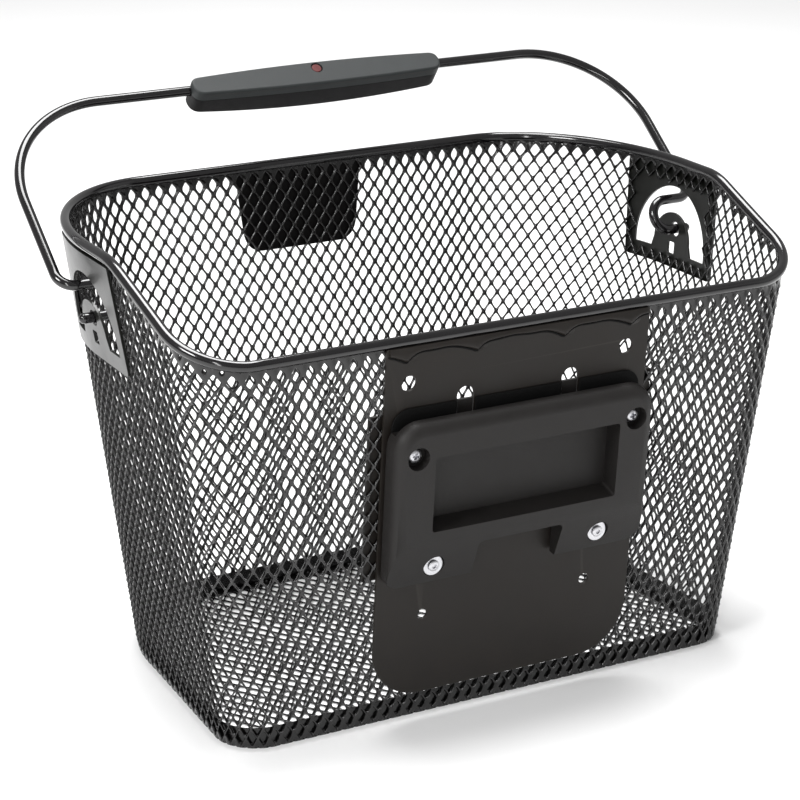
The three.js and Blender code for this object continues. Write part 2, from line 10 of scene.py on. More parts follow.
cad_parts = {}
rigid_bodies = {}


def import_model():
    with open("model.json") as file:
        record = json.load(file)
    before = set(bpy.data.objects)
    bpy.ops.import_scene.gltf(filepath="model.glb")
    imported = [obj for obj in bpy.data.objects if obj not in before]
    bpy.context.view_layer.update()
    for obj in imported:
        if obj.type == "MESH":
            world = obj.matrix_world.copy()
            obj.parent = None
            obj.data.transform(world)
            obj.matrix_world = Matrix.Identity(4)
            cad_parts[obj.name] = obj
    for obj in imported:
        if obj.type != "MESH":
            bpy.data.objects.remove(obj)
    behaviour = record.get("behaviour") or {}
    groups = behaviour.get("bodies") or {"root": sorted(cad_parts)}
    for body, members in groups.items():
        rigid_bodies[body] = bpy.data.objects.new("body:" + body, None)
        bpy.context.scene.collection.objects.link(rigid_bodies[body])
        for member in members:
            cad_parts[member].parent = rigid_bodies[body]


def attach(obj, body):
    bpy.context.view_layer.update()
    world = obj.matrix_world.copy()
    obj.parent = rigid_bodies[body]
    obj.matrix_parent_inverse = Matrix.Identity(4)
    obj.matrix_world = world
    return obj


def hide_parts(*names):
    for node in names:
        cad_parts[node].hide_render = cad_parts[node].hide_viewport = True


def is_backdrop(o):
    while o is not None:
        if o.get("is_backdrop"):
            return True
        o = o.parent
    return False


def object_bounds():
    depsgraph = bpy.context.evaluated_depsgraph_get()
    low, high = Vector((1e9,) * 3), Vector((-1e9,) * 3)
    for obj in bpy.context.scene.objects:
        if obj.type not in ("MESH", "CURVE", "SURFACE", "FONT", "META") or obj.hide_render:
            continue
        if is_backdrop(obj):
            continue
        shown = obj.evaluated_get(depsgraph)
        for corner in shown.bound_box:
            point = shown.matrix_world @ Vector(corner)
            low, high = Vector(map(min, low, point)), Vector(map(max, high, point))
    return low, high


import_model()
# The new file's own default objects are not part of the scene.
for extra in [o for o in bpy.data.objects if o.name in ("Cube", "Light", "Camera")]:
    bpy.data.objects.remove(extra, do_unlink=True)
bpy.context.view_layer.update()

# Dimensions in millimetres, as in the CAD model.
MM = 0.001
FRONT_HEIGHT, REAR_HEIGHT = 240.5, 207.5
RIM_SLOPE, RIM_START, RIM_BLEND = 0.365, -24.0, 9.0
TOP = dict(rear_half=177.5, front_half=177.5, front=115.0, rear=-115.0, across=75.0, along=109.0, radius=34.0)
BASE = dict(rear_half=148.5, front_half=142.5, front=98.0, rear=-92.5, across=58.0, along=74.0, radius=22.0)
SHIFT = 2.57    # added to every Y, from the drawing's origin to the frame's
REAR_TILT = math.atan((BASE["rear"] - TOP["rear"]) / FRONT_HEIGHT)
FRONT_TILT = math.atan((TOP["front"] - BASE["front"]) / FRONT_HEIGHT)
SIDE_TILT = math.atan((TOP["rear_half"] - BASE["rear_half"]) / FRONT_HEIGHT)
PIVOT_Y, PIVOT_Z, LEAN = 8.0, 203.5, math.radians(52.4)    # the bail's axis and its lean from upright
BRACKET_MIDDLE, SHEAR = 10.5, 0.11    # depth of a bracket's middle and its slant per millimetre of height
PITCH_U, PITCH_V = 7.35, 11.1
MESH_OPEN, MESH_HEM, MESH_SLIT = 0.735, 0.62, 0.16    # size of an opening as a share of its cell
RIM_RADIUS, BAIL_RADIUS = 2.8, 2.7
PLATE_INNER, PLATE_OUTER, PLATE_TOP = 1.1, 2.6, 206.4
UPPER_HOLE, LOWER_HOLE = (62, 187), (48, 58.5)
UPPER_SCREW, LOWER_SCREW = (62.5, 153), (48, 90)
SHANK_HOLE = 2.7
HOOK_SLOT_X, HOOK_SLOT_HALF = 30, 4.8
WELDS = (-64, -25, 25, 64)
ARCH_SPRING, ARCH_HALF, ARCH_RISE = 194.5, 30.5, 33.4
BADGE_SHIFT = 7
BAIL_TOP, BAIL_OFFSET, BAIL_HALF, BAIL_CORNER, BAIL_BEND = 130.85, 6.5, 188.5, 60, 9
HOOK_RISE, HOOK_SET, HOOK_START = 15.2, 7.6, 170.0
SMOOTH_ALL = 180


# ---------------------------------------------------------------- materials
def material(name, colour, rough, metallic=0.0, grain=900.0, bump=0.12, spread=0.05, mottle=0.12,
             coat=0.0, wear=0.0, wear_colour=(0.3, 0.3, 0.3), specular=0.5):
    """Principled material whose colour, roughness and bump come from noise at two scales.
    wear lightens raised edges towards wear_colour."""
    m = bpy.data.materials.new(name)
    m.use_nodes = True
    nt = m.node_tree
    nodes, links = nt.nodes, nt.links
    shader = nodes["Principled BSDF"]
    shader.inputs["Metallic"].default_value = metallic
    shader.inputs["Specular IOR Level"].default_value = specular
    shader.inputs["Coat Weight"].default_value = coat
    shader.inputs["Coat Roughness"].default_value = 0.12
    place = nodes.new("ShaderNodeTexCoord")

    def noise(size, detail):
        n = nodes.new("ShaderNodeTexNoise")
        n.inputs["Scale"].default_value = size
        n.inputs["Detail"].default_value = detail
        links.new(place.outputs["Object"], n.inputs["Vector"])
        return n.outputs["Fac"]

    fine, broad = noise(grain, 4.0), noise(grain * 0.045, 3.0)
    ramp = nodes.new("ShaderNodeValToRGB")
    for stop, at, gain in zip(ramp.color_ramp.elements, (0.32, 0.68), (1 - mottle, 1 + mottle)):
        stop.position, stop.color = at, tuple(min(1, c * gain) for c in colour) + (1,)
    links.new(broad, ramp.inputs["Fac"])
    out = ramp.outputs["Color"]
    if wear:
        geo = nodes.new("ShaderNodeNewGeometry")
        edge = nodes.new("ShaderNodeMapRange")
        edge.inputs["From Min"].default_value, edge.inputs["From Max"].default_value = 0.53, 0.66
        edge.inputs["To Max"].default_value = wear
        links.new(geo.outputs["Pointiness"], edge.inputs["Value"])
        mix = nodes.new("ShaderNodeMix")
        mix.data_type = "RGBA"
        links.new(edge.outputs["Result"], mix.inputs["Factor"])
        links.new(out, mix.inputs["A"])
        mix.inputs["B"].default_value = tuple(wear_colour) + (1,)
        out = mix.outputs["Result"]
    links.new(out, shader.inputs["Base Color"])
    span = nodes.new("ShaderNodeMapRange")
    span.inputs["From Min"].default_value, span.inputs["From Max"].default_value = 0.3, 0.7
    span.inputs["To Min"].default_value = max(0.03, rough - spread)
    span.inputs["To Max"].default_value = rough + spread
    links.new(broad, span.inputs["Value"])
    links.new(span.outputs["Result"], shader.inputs["Roughness"])
    bumps = nodes.new("ShaderNodeBump")
    bumps.inputs["Strength"].default_value = bump
    bumps.inputs["Distance"].default_value = 0.0004
    links.new(fine, bumps.inputs["Height"])
    links.new(bumps.outputs["Normal"], shader.inputs["Normal"])
    return m


WIRE = material("wire_enamel", (0.004, 0.0035, 0.004), 0.1, grain=700, bump=0.03, mottle=0.2, coat=0.3,
                wear=0.15, wear_colour=(0.02, 0.019, 0.019))
MESH = material("mesh_enamel", (0.003, 0.0027, 0.0027), 0.17, grain=1100, bump=0.2, mottle=0.22, coat=0.15)
PLATE = material("plate_paint", (0.0125, 0.0102, 0.0085), 0.46, grain=1500, mottle=0.1,
                 wear=0.25, wear_colour=(0.05, 0.045, 0.04), specular=0.24)
BRACKET = material("bracket_paint", (0.0045, 0.0048, 0.0038), 0.33, grain=1300, bump=0.1, coat=0.2,
                   wear=0.3, wear_colour=(0.04, 0.038, 0.035), specular=0.38)
ADAPTER = material("adapter_moulding", (0.0135, 0.0122, 0.0116), 0.5, grain=2600, bump=0.3, mottle=0.06,
                   spread=0.04, specular=0.25)
# Matt black that paints shadow: the pad's band above the adapter and the line under the plate's lip.
PAINTED_SHADOW = material("pad_rubber", (0.003, 0.003, 0.003), 0.8, grain=1600, bump=0.3, mottle=0.2, specular=0.15)
ZINC = material("zinc_plating", (0.56, 0.56, 0.58), 0.32, metallic=1.0, grain=1200, bump=0.1, mottle=0.08,
                spread=0.08)
GRIP = material("grip_moulding", (0.031, 0.034, 0.0345), 0.46, grain=2600, bump=0.35, mottle=0.06,
                specular=0.2)
# The lower shell's colour is darker partly as its own darker plastic and partly as painted shade of the grip's
# underside.
GRIP_UNDER_SHADED = material("grip_moulding_lower_shaded", (0.009, 0.0085, 0.009), 0.46, grain=2600, bump=0.35,
                      mottle=0.06, specular=0.15)
BADGE = material("badge_paint", (0.004, 0.0035, 0.0036), 0.5, grain=1300, bump=0.1, mottle=0.15, specular=0.1)
RED = material("red_moulding", (0.075, 0.003, 0.003), 0.4, grain=2200, bump=0.15, specular=0.3)


# ---------------------------------------------------------------- mesh helpers
def build(name, verts, faces, mat, body="basket", stands_for=(), smooth=None):
    """A piece from points in millimetres in the basket's frame."""
    me = bpy.data.meshes.new(name)
    me.from_pydata([tuple(v) for v in np.asarray(verts) * MM], [], [tuple(int(i) for i in f) for f in faces])
    return finish_piece(name, me, mat, body, stands_for, smooth)


def finish_piece(name, me, mat, body="basket", stands_for=(), smooth=None, tidy=True):
    """Turns a mesh in metres into a piece that rides on a body and stands for CAD nodes.
    smooth is the angle in degrees above which an edge stays sharp, or None for flat faces."""
    me.materials.clear()
    me.materials.append(mat)
    if tidy:
        bm = bmesh.new()
        bm.from_mesh(me)
        bmesh.ops.remove_doubles(bm, verts=bm.verts, dist=1e-6)
        bmesh.ops.dissolve_degenerate(bm, edges=bm.edges, dist=2e-7)
        bmesh.ops.recalc_face_normals(bm, faces=bm.faces)
        bm.to_mesh(me)
        bm.free()
    some_sharp = smooth is not None and smooth < SMOOTH_ALL
    if smooth is not None:
        me.shade_smooth()
    if some_sharp:
        me.set_sharp_from_angle(angle=math.radians(smooth))
    ob = bpy.data.objects.new(name, me)
    bpy.context.scene.collection.objects.link(ob)
    if some_sharp:
        ob.modifiers.new("normals", "WEIGHTED_NORMAL").keep_sharp = True
    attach(ob, body)
    if stands_for:
        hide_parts(*stands_for)
    return ob


def skin(rings, count, loop=False):
    """Faces between neighbouring rings of points; loop joins the last ring to the first one."""
    faces = []
    for i in range(rings if loop else rings - 1):
        j = (i + 1) % rings
        for k in range(count):
            l = (k + 1) % count
            faces.append((i * count + k, i * count + l, j * count + l, j * count + k))
    return faces


def ends(rings, count):
    """The two flat faces that close a stack of rings."""
    return [tuple(range(count))[::-1], tuple((rings - 1) * count + k for k in range(count))]


def tube(points, radius, closed=False, sides=28, cap=True):
    """Vertices and faces of a round bar along a dense path, with domed ends when it is open."""
    p = np.asarray(points, float)
    n = len(p)
    t = np.roll(p, -1, 0) - np.roll(p, 1, 0) if closed else np.gradient(p, axis=0)
    t /= np.linalg.norm(t, axis=1)[:, None]
    up = np.array([0.0, 0.0, 1.0]) if abs(t[0][2]) < 0.8 else np.array([0.0, 1.0, 0.0])
    normal = np.cross(t[0], up)
    normal /= np.linalg.norm(normal)
    radii, centres, tangents = np.full(n, float(radius)), p, t
    if not closed and cap:
        steps = np.radians([75, 50, 25])
        head = [p[0] - t[0] * radius * math.sin(a) for a in steps]
        tail = [p[-1] + t[-1] * radius * math.sin(a) for a in steps[::-1]]
        centres = np.vstack([head, p, tail])
        tangents = np.vstack([[t[0]] * 3, t, [t[-1]] * 3])
        radii = np.concatenate([radius * np.cos(steps), radii, radius * np.cos(steps[::-1])])
    angle = np.linspace(0, 2 * math.pi, sides, endpoint=False)
    verts = []
    for c, d, r in zip(centres, tangents, radii):
        normal = normal - d * np.dot(normal, d)
        normal /= np.linalg.norm(normal)
        side = np.cross(d, normal)
        verts.append(c + r * (np.outer(np.cos(angle), normal) + np.outer(np.sin(angle), side)))
    rings = len(verts)
    faces = skin(rings, sides)
    if closed:
        # The last ring meets the first one turned by the frame's own twist.
        shift = int(np.argmin(np.linalg.norm(verts[0] - verts[-1][0], axis=1)))
        last = (rings - 1) * sides
        for k in range(sides):
            l = (k + 1) % sides
            faces.append((last + k, last + l, (l + shift) % sides, (k + shift) % sides))
    else:
        faces += ends(rings, sides)
    return np.vstack(verts), faces


def inset(outline, amount):
    """A closed counter-clockwise outline moved inwards."""
    p = np.asarray(outline, float)
    a = p - np.roll(p, 1, 0)
    b = np.roll(p, -1, 0) - p
    na = np.stack([-a[:, 1], a[:, 0]], 1) / np.linalg.norm(a, axis=1)[:, None]
    nb = np.stack([-b[:, 1], b[:, 0]], 1) / np.linalg.norm(b, axis=1)[:, None]
    n = na + nb
    n /= np.maximum(1e-9, (np.einsum("ij,ij->i", n, n) / 2 + 1e-9)[:, None])
    return p + n * amount


def slab(outline, low, high, low_edge=0.0, high_edge=0.0, steps=5):
    """A plate with rounded edges: rings of the outline from its low face to its high one, both capped."""
    turns = [math.pi / 2 * i / steps for i in range(steps + 1)]
    rings = [(0.0, low)]
    if low_edge > 0:
        rings = [(low_edge * (1 - math.sin(a)), low + low_edge * (1 - math.cos(a))) for a in turns]
    if high_edge > 0:
        rings += [(high_edge * (1 - math.cos(a)), high - high_edge * (1 - math.sin(a))) for a in turns]
    else:
        rings.append((0.0, high))
    count = len(outline)
    verts = np.vstack([np.column_stack([inset(outline, by), np.full(count, z)]) for by, z in rings])
    return verts, ends(len(rings), count) + skin(len(rings), count)


def arc(cx, cy, r, start, end, steps=10, ry=None):
    """Points along an arc between two angles in degrees; ry makes it an ellipse."""
    a = np.radians(np.linspace(start, end, steps + 1))
    return [(cx + r * math.cos(t), cy + (ry or r) * math.sin(t)) for t in a]


def rounded(half, bottom, top, lower, upper, steps=10):
    """Outline of a rectangle with its own corner radius at the bottom and at the top."""
    return (arc(half - lower, bottom + lower, lower, -90, 0, steps)
            + arc(half - upper, top - upper, upper, 0, 90, steps)
            + arc(upper - half, top - upper, upper, 90, 180, steps)
            + arc(lower - half, bottom + lower, lower, 180, 270, steps))


def circle(x, y, r, steps=40):
    return arc(x, y, r, 0, 360 - 360 / steps, steps - 1)


def raw(name, solid):
    """A plain object from (vertices, faces), with no scale and no material."""
    me = bpy.data.meshes.new(name)
    me.from_pydata([tuple(v) for v in np.asarray(solid[0])], [], [tuple(int(i) for i in f) for f in solid[1]])
    ob = bpy.data.objects.new(name, me)
    bpy.context.scene.collection.objects.link(ob)
    return ob


def carve(solid, tools, unions=(), bevel=None):
    """Cuts tools out of a solid, adds others and softens the edges left; returns a mesh in the same units."""
    base = raw("work", solid)
    extras = []
    for kind, group in (("DIFFERENCE", tools), ("UNION", unions)):
        for tool in group:
            other = raw("tool", tool)
            extras.append(other)
            step = base.modifiers.new("cut", "BOOLEAN")
            step.operation, step.object, step.solver = kind, other, "EXACT"
    if bevel:
        width, angle, segments = bevel
        step = base.modifiers.new("edges", "BEVEL")
        step.width, step.segments, step.limit_method = width, segments, "ANGLE"
        step.angle_limit = math.radians(angle)
        step.use_clamp_overlap = True
    bpy.context.view_layer.update()
    depsgraph = bpy.context.evaluated_depsgraph_get()
    me = bpy.data.meshes.new_from_object(base.evaluated_get(depsgraph))
    for ob in [base] + extras:
        bpy.data.objects.remove(ob, do_unlink=True)
    return me


def frame_matrix(origin, x_axis, y_axis):
    """Matrix of a local drawing frame, in millimetres in the basket's frame."""
    x, y = Vector(x_axis).normalized(), Vector(y_axis).normalized()
    z = x.cross(y)
    m = Matrix.Identity(4)
    for i, axis in enumerate((x, y, z)):
        m[0][i], m[1][i], m[2][i] = axis
    m.translation = Vector(origin) + Vector((0, SHIFT, 0))
    return m


REAR = frame_matrix((0, BASE["rear"], 0), (1, 0, 0), (0, -math.sin(REAR_TILT), math.cos(REAR_TILT)))
FRONT = frame_matrix((0, BASE["front"], 0), (-1, 0, 0), (0, math.sin(FRONT_TILT), math.cos(FRONT_TILT)))
BAIL = frame_matrix((0, PIVOT_Y, PIVOT_Z), (1, 0, 0), (0, math.sin(LEAN), math.cos(LEAN)))


def put(me, matrix):
    """Moves a mesh from a local drawing frame to its place, in metres."""
    me.transform(matrix)
    me.transform(Matrix.Scale(MM, 4))
    return me


def placed(points, matrix):
    """Points moved by a matrix."""
    m = np.array(matrix)
    return np.asarray(points) @ m[:3, :3].T + m[:3, 3]


# ---------------------------------------------------------------- the wall's surface
def half_plan(p):
    """Dense plan from the middle of the rear to the middle of the front on the +X side."""
    rear_x, front_x = p["rear_half"] - p["radius"], p["front_half"] - p["across"]
    pts = [(x, p["rear"]) for x in np.linspace(0, rear_x, 25)[:-1]]
    pts += arc(rear_x, p["rear"] + p["radius"], p["radius"], -90, 0, 30)
    last, ahead = pts[-1], (p["front_half"], p["front"] - p["along"])
    pts += [(last[0] + (ahead[0] - last[0]) * k, last[1] + (ahead[1] - last[1]) * k)
            for k in np.linspace(0, 1, 22)[1:-1]]
    pts += arc(front_x, p["front"] - p["along"], p["across"], 0, 90, 60, p["along"])
    pts += [(x, p["front"]) for x in np.linspace(front_x, 0, 25)[1:]]
    return np.array(pts)


def full_plan(p):
    """The whole outline, the half plan and its mirror image."""
    half = half_plan(p)
    return np.vstack([half, half[1:-1][::-1] * [-1, 1]])


def direction(p):
    """Unit tangent at every point of a closed outline."""
    t = np.roll(p, -1, 0) - np.roll(p, 1, 0)
    return t / np.linalg.norm(t, axis=1)[:, None]


PLAN_LOW, PLAN_HIGH = full_plan(BASE), full_plan(TOP)
DIR_LOW, DIR_HIGH = direction(PLAN_LOW), direction(PLAN_HIGH)
MIDDLE = (PLAN_LOW + PLAN_HIGH) / 2
LENGTHS = np.concatenate([[0], np.cumsum(np.linalg.norm(np.roll(MIDDLE, -1, 0) - MIDDLE, axis=1))])
AROUND = LENGTHS[-1]
STATIONS = len(MIDDLE)


def look_up(table, t):
    """Values of a closed table at fractional stations."""
    ext = np.vstack([table, table[:1]])
    grid = np.arange(STATIONS + 1)
    return np.stack([np.interp(t, grid, ext[:, i]) for i in range(table.shape[1])], -1)


def wall(u, z, w):
    """Point in millimetres at a distance round the wall, a height and an offset outwards."""
    u, z, w = np.broadcast_arrays(np.asarray(u, float), np.asarray(z, float), np.asarray(w, float))
    t = np.interp(np.mod(u, AROUND), LENGTHS, np.arange(STATIONS + 1))
    mix = (z / FRONT_HEIGHT)[..., None]
    low, high = look_up(PLAN_LOW, t), look_up(PLAN_HIGH, t)
    xy = low * (1 - mix) + high * mix
    d = look_up(DIR_LOW, t) * (1 - mix) + look_up(DIR_HIGH, t) * mix
    lean = (high - low) / FRONT_HEIGHT
    n = np.stack([d[..., 1], -d[..., 0], d[..., 0] * lean[..., 1] - d[..., 1] * lean[..., 0]], -1)
    n /= np.linalg.norm(n, axis=-1, keepdims=True)
    p = np.concatenate([xy, z[..., None]], -1) + n * w[..., None]
    p[..., 1] += SHIFT
    return p


def rim_height(depth):
    """Height of the rim at a depth: level at the front and sides, a slope down, level at the rear."""
    past = RIM_START - np.asarray(depth, float)
    fall = np.where(past >= RIM_BLEND, past, (np.maximum(past, -RIM_BLEND) + RIM_BLEND) ** 2 / (4 * RIM_BLEND))
    return np.maximum(REAR_HEIGHT, FRONT_HEIGHT - RIM_SLOPE * fall)


def rim_limit(u):
    """Height of the rim at a distance round the wall."""
    t = np.interp(np.mod(u, AROUND), LENGTHS, np.arange(STATIONS + 1))
    return rim_height(look_up(PLAN_HIGH, t)[..., 1])


# ---------------------------------------------------------------- expanded mesh
COLUMNS = int(round(AROUND / PITCH_U))
DU, DV = AROUND / COLUMNS, PITCH_V / 2
CORNERS = np.array([(1, 0), (2 / 3, 1 / 3), (1 / 3, 2 / 3), (0, 1), (-1 / 3, 2 / 3), (-2 / 3, 1 / 3),
                    (-1, 0), (-2 / 3, -1 / 3), (-1 / 3, -2 / 3), (0, -1), (1 / 3, -2 / 3), (2 / 3, -1 / 3)])
TURN = np.radians(np.arange(12) * 30.0)
HOLE = np.stack([np.cos(TURN), np.sin(TURN)], 1)
HOLE = np.sign(HOLE) * np.abs(HOLE) ** 1.6        # between a diamond and an ellipse
HOLE[np.abs(HOLE) < 1e-6] = 0


def lattice(centres, scales, half_u, half_v, limits, place, period=None, tilt=0.9, thick=0.8, lower=None):
    """Strands round one opening per centre, in four bands from the front face over the edge to the back
    face. Returns points, faces and the number of the cell that each face belongs to."""
    half = np.array([half_u, half_v])
    rim = centres[:, None, :] + CORNERS * half
    hole = centres[:, None, :] + HOLE * half * scales[:, None, None]
    mid = hole + (rim - hole) * 0.34
    for ring in (rim, hole, mid):
        ring[..., 1] = np.minimum(ring[..., 1], limits[:, None])
        if lower is not None:
            ring[..., 1] = np.maximum(ring[..., 1], lower)
    lean = -tilt * (rim[..., 0] - hole[..., 0]) * (scales[:, None] > 0.5)
    layers = [(rim, np.full(lean.shape, thick)), (mid, thick * 0.86 + lean * 0.7), (hole, lean),
              (mid, -thick * 0.86 + lean * 0.7), (rim, np.full(lean.shape, -thick))]
    uv = np.stack([l[0] for l in layers], 1)
    w = np.stack([l[1] for l in layers], 1)
    count = len(centres)
    wrap = uv[..., 0] if period is None else np.mod(np.round(uv[..., 0], 6), round(period, 6))
    layer = np.broadcast_to(np.arange(5)[None, :, None], w.shape)
    # Neighbouring cells share their points, found by rounding to 0.002 mm.
    keys = np.stack([np.round(wrap * 500), np.round(uv[..., 1] * 500), layer], -1)
    keys = keys.reshape(-1, 3).astype(np.int64)
    _, first, inverse = np.unique(keys, axis=0, return_index=True, return_inverse=True)
    ids = inverse.reshape(count, 5, 12)
    points = place(uv[..., 0].reshape(-1)[first], uv[..., 1].reshape(-1)[first], w.reshape(-1)[first])
    faces, owner = [], []
    nxt = np.roll(np.arange(12), -1)
    for band in range(4):
        a, b = ids[:, band], ids[:, band + 1]
        faces.append(np.stack([a, a[:, nxt], b[:, nxt], b], -1).reshape(-1, 4))
        owner.append(np.repeat(np.arange(count), 12))
    # A cell's outer side is closed only where it has no neighbour.
    outer = np.stack([ids[:, 0], ids[:, 0][:, nxt], ids[:, 4][:, nxt], ids[:, 4]], -1).reshape(-1, 4)
    pair = np.sort(outer[:, :2], 1)
    _, back, many = np.unique(pair, axis=0, return_inverse=True, return_counts=True)
    alone = (many[back.reshape(-1)] == 1) & (pair[:, 0] != pair[:, 1])
    faces.append(outer[alone][:, ::-1])
    owner.append(np.repeat(np.arange(count), 12)[alone])
    return points, np.vstack(faces), np.concatenate(owner)


def split_mesh(prefix, points, faces, owner, group_of_cell, names, mat, node):
    """One object for each group of cells."""
    for g, word in enumerate(names):
        mine = faces[group_of_cell[owner] == g]
        used, inverse = np.unique(mine, return_inverse=True)
        quads = inverse.reshape(mine.shape)
        good = np.array([len(set(q)) > 2 for q in quads.tolist()])
        clean = [tuple(dict.fromkeys(q)) for q in quads[good].tolist()]
        me = bpy.data.meshes.new(prefix + word)
        me.from_pydata((points[used] * MM).tolist(), [], clean)
        bm = bmesh.new()
        bm.from_mesh(me)
        bmesh.ops.dissolve_degenerate(bm, edges=bm.edges, dist=2e-7)
        bm.to_mesh(me)
        bm.free()
        finish_piece(prefix + word, me, mat, stands_for=(node,), smooth=SMOOTH_ALL, tidy=False)


# Wall: rows of cells from the ground up, less what lies behind the plate and in the bracket windows.
column = np.arange(COLUMNS)
cells = np.vstack([np.stack([(column + 0.5 * (j % 2)) * DU, np.full(COLUMNS, j * DV)], 1) for j in range(45)])
limit = rim_limit(cells[:, 0]) - 1.6
at = wall(cells[:, 0], cells[:, 1], 0)
x, y, up = at[:, 0], at[:, 1] - SHIFT, at[:, 2]
rear_up, side_up = up / math.cos(REAR_TILT), up / math.cos(SIDE_TILT)
behind_plate = (y < -80) & (np.abs(x) < 70) & (rear_up > 26)
corner = (np.abs(x) > 48) & (rear_up < 46.5)
behind_plate &= ~(corner & (np.hypot(np.abs(x) - 48, rear_up - 46.5) > 21))
along = y - BRACKET_MIDDLE - SHEAR * (side_up - PIVOT_Z)
in_window = (np.abs(x) > 100) & (np.abs(along) < 33.2) & (side_up > 187.4) & (side_up < 229.6)
keep = (cells[:, 1] - DV < limit - 0.4) & ~behind_plate & ~in_window
cells, limit, x, y = cells[keep], limit[keep], x[keep], y[keep]
room = limit - cells[:, 1]
closed = (room < 1.6) | (cells[:, 1] < 1)
scale = np.select([closed, room < 5.0, room < 8.2], [0.0, MESH_SLIT, MESH_HEM], MESH_OPEN)
points, faces, owner = lattice(cells, scale, DU / 2, DV, limit, wall, period=AROUND, lower=0.0)
group = np.where(y < -72, 0, np.where(y > 55, 4, 2)) + (x > 0)
parts = [f"{place}_{side}" for place in ("rear", "side", "front") for side in ("left", "right")]
split_mesh("wall_mesh_", points, faces, owner, group, parts, MESH, "wall_mesh")

# Floor: the same lattice lying flat, its long axis fore and aft, edged by a pressed border.
nx, ny = int(2 * 150 / PITCH_U) + 2, int(200 / DV) + 2
grid = np.array([((i + 0.5 * (j % 2)) * PITCH_U, j * DV)
                 for j in range(-ny // 2, ny // 2 + 1) for i in range(-nx // 2, nx // 2 + 1)])
edge = full_plan(BASE)


def inside(pts, poly):
    """Which points lie inside a closed outline."""
    hit = np.zeros(len(pts), bool)
    for a, b in zip(poly, np.roll(poly, -1, 0)):
        crosses = (a[1] > pts[:, 1]) != (b[1] > pts[:, 1])
        with np.errstate(divide="ignore", invalid="ignore"):
            hit ^= crosses & (pts[:, 0] < (b[0] - a[0]) * (pts[:, 1] - a[1]) / (b[1] - a[1] + 1e-12) + a[0])
    return hit


def floor_place(a, b, w):
    return np.stack([a, b + SHIFT, 0.85 + w], -1)


grid = grid[inside(grid, inset(edge, 5.6))]
points, faces, owner = lattice(grid, np.full(len(grid), 0.77), PITCH_U / 2, DV, np.full(len(grid), 999.0),
                               floor_place, tilt=0.35, thick=0.45)
split_mesh("floor_mesh_", points, faces, owner, (grid[:, 0] > 0).astype(int), ["left", "right"],
           MESH, "floor_mesh")
sides = ((inset(edge, 1.1), (0.25, 1.35)), (inset(edge, 6.5), (1.35, 0.25)))
ring = [np.column_stack([line[:, 0], line[:, 1] + SHIFT, np.full(len(edge), h)])
        for line, heights in sides for h in heights]
build("floor_border", np.vstack(ring), skin(4, len(edge), loop=True), MESH,
      stands_for=("floor_mesh",), smooth=40)

# Band behind the foot of the mesh.
u = np.linspace(0, AROUND, 420, endpoint=False)
profile = [(-1.1, 1.9), (-1.1, 10.1), (-1.35, 10.4), (-1.85, 10.4), (-2.1, 10.1), (-2.1, 1.9)]
build("floor_band_ring", np.vstack([wall(u, z, w) for w, z in profile]), skin(len(profile), len(u), loop=True),
      MESH, stands_for=("floor_band",), smooth=40)

# Rim: a round wire that follows the wall's top.
u = np.linspace(0, AROUND, 520, endpoint=False)
verts, faces = tube(wall(u, rim_limit(u), 0), RIM_RADIUS, closed=True)
build("rim_wire", verts, faces, WIRE, stands_for=("rim_ring",), smooth=SMOOTH_ALL)

# ---------------------------------------------------------------- rear plate, pad, adapter, fittings
def pegs(spot, radius, low, high, steps=32):
    """A round tool at a spot and at its mirror image."""
    return [slab(circle(s * spot[0], spot[1], radius, steps), low, high) for s in (-1, 1)]


def screw_pegs(low, high):
    return pegs(UPPER_SCREW, SHANK_HOLE, low, high) + pegs(LOWER_SCREW, SHANK_HOLE, low, high)


def slots(margin, low, high):
    """The two arched slots that the adapter's tabs hook into."""
    half = HOOK_SLOT_HALF + margin
    shapes = [[(m - half, 157.5), (m + half, 157.5)] + arc(m, 175.7, half, 0, 180, 14)
              for m in (-HOOK_SLOT_X, HOOK_SLOT_X)]
    return [slab(shape, low, high) for shape in shapes]


def box(low, high):
    shape = [(low[0], low[1]), (high[0], low[1]), (high[0], high[1]), (low[0], high[1])]
    return slab(shape, low[2], high[2])


sheet = slab(rounded(75, 13.5, PLATE_TOP, 28, 1.2, 16), PLATE_INNER, PLATE_OUTER)
me = carve(sheet, pegs(UPPER_HOLE, 4, 0, 9) + pegs(LOWER_HOLE, 2.9, 0, 9) + screw_pegs(0, 9) + slots(0, 0, 9),
           bevel=(0.35, 50, 2))
finish_piece("mounting_sheet", put(me, REAR), PLATE, stands_for=("mounting_plate",))

me = carve(box((-81, 81.5, -3.1), (81, 170.5, -1.1)), screw_pegs(-9, 0) + slots(0.6, -9, 0), bevel=(0.3, 50, 2))
finish_piece("counter_sheet", put(me, REAR), PLATE, stands_for=("counter_plate",), smooth=35)

# Black pad behind the adapter's top: a dark sheet that paints the shadow band between the adapter and the
# plate.
sheet = slab(rounded(71, 104.5, 174, 2, 9), 2.9, 3.9, 0.25, 0.25, 3)
me = carve(sheet, pegs(UPPER_SCREW, SHANK_HOLE, 0, 9) + slots(0.6, 0, 9))
finish_piece("pad_sheet", put(me, REAR), PAINTED_SHADOW, stands_for=("rubber_pad",), smooth=35)

